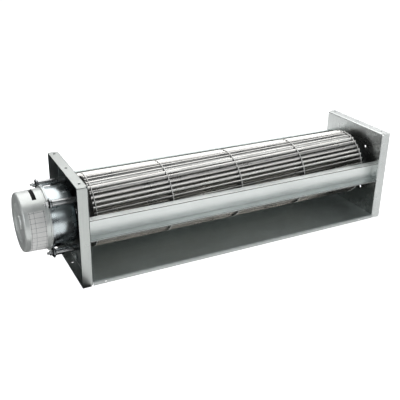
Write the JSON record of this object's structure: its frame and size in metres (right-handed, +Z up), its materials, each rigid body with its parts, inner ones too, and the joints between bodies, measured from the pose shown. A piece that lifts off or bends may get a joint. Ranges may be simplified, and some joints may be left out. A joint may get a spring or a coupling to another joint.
{
  "type": "cross flow fan",
  "caption": "Long cross flow fan: skewed blade impeller between folded galvanised end plates, with scroll sheet, tongue channel and a side mounted round motor.",
  "frame": {"origin": "bottom centre of the whole fan, on the plane that the end plates stand on", "axes": "+X along the fan from the motor end to the bearing end, -Y towards the air outlet, +Z up"},
  "size_m": [0.6514, 0.1574, 0.166],
  "materials": {
    "galvanised_sheet": "galvanised, satin",
    "impeller_aluminium": "bright mill finish",
    "cap_aluminium": "satin, deep drawn",
    "zinc_steel": "bright zinc plated",
    "fastener_steel": "zinc plated",
    "shaft_steel": "ground",
    "cast_hub": "die cast",
    "black_rubber": "moulded rubber",
    "black_plastic": "moulded",
    "stack_steel": "laminated",
    "winding_copper": "enamelled copper",
    "sintered_bronze": "sintered bronze",
    "blank_label": "blank metallised film"
  },
  "bodies": {
    "housing": {"end_plate_motor": "galvanised_sheet", "end_plate_bearing": "galvanised_sheet", "scroll_housing": "galvanised_sheet", "tongue_channel": "galvanised_sheet", "bearing_mount_rubber": "black_rubber", "bearing_outer_race": "shaft_steel", "bearing_balls": "shaft_steel", "bearing_shields": "zinc_steel", "motor_end_cap": "cap_aluminium", "motor_pot": "zinc_steel", "motor_mounting_plate": "zinc_steel", "flange_rivets": "fastener_steel", "lead_outlet_insert": "black_plastic", "rating_label": "blank_label", "motor_bush_rear": "sintered_bronze", "motor_bush_front": "sintered_bronze", "stator_stack": "stack_steel", "stator_windings": "winding_copper", "stand_offs": "zinc_steel", "mount_grommets": "black_rubber", "mount_screws": "fastener_steel", "mount_washers": "fastener_steel", "mount_nuts": "fastener_steel"},
    "impeller": {"impeller_blades": "impeller_aluminium", "impeller_end_disc_motor": "impeller_aluminium", "impeller_ring_1": "impeller_aluminium", "impeller_ring_2": "impeller_aluminium", "impeller_ring_3": "impeller_aluminium", "impeller_end_disc_bearing": "impeller_aluminium", "drive_hub": "cast_hub", "hub_damper": "black_rubber", "hub_bush": "shaft_steel", "grub_screw": "fastener_steel", "hub_rivets": "impeller_aluminium", "stub_hub": "cast_hub", "stub_shaft": "shaft_steel", "retaining_ring": "fastener_steel", "bearing_inner_race": "shaft_steel", "motor_rotor": "stack_steel", "motor_shaft": "shaft_steel"}
  },
  "joints": [
    {"name": "impeller_spin", "type": "hinge", "parent": "housing", "child": "impeller", "pos_m": [0, 0.00255, 0.0899], "axis": [-1, 0, 0], "continuous": true}
  ]
}
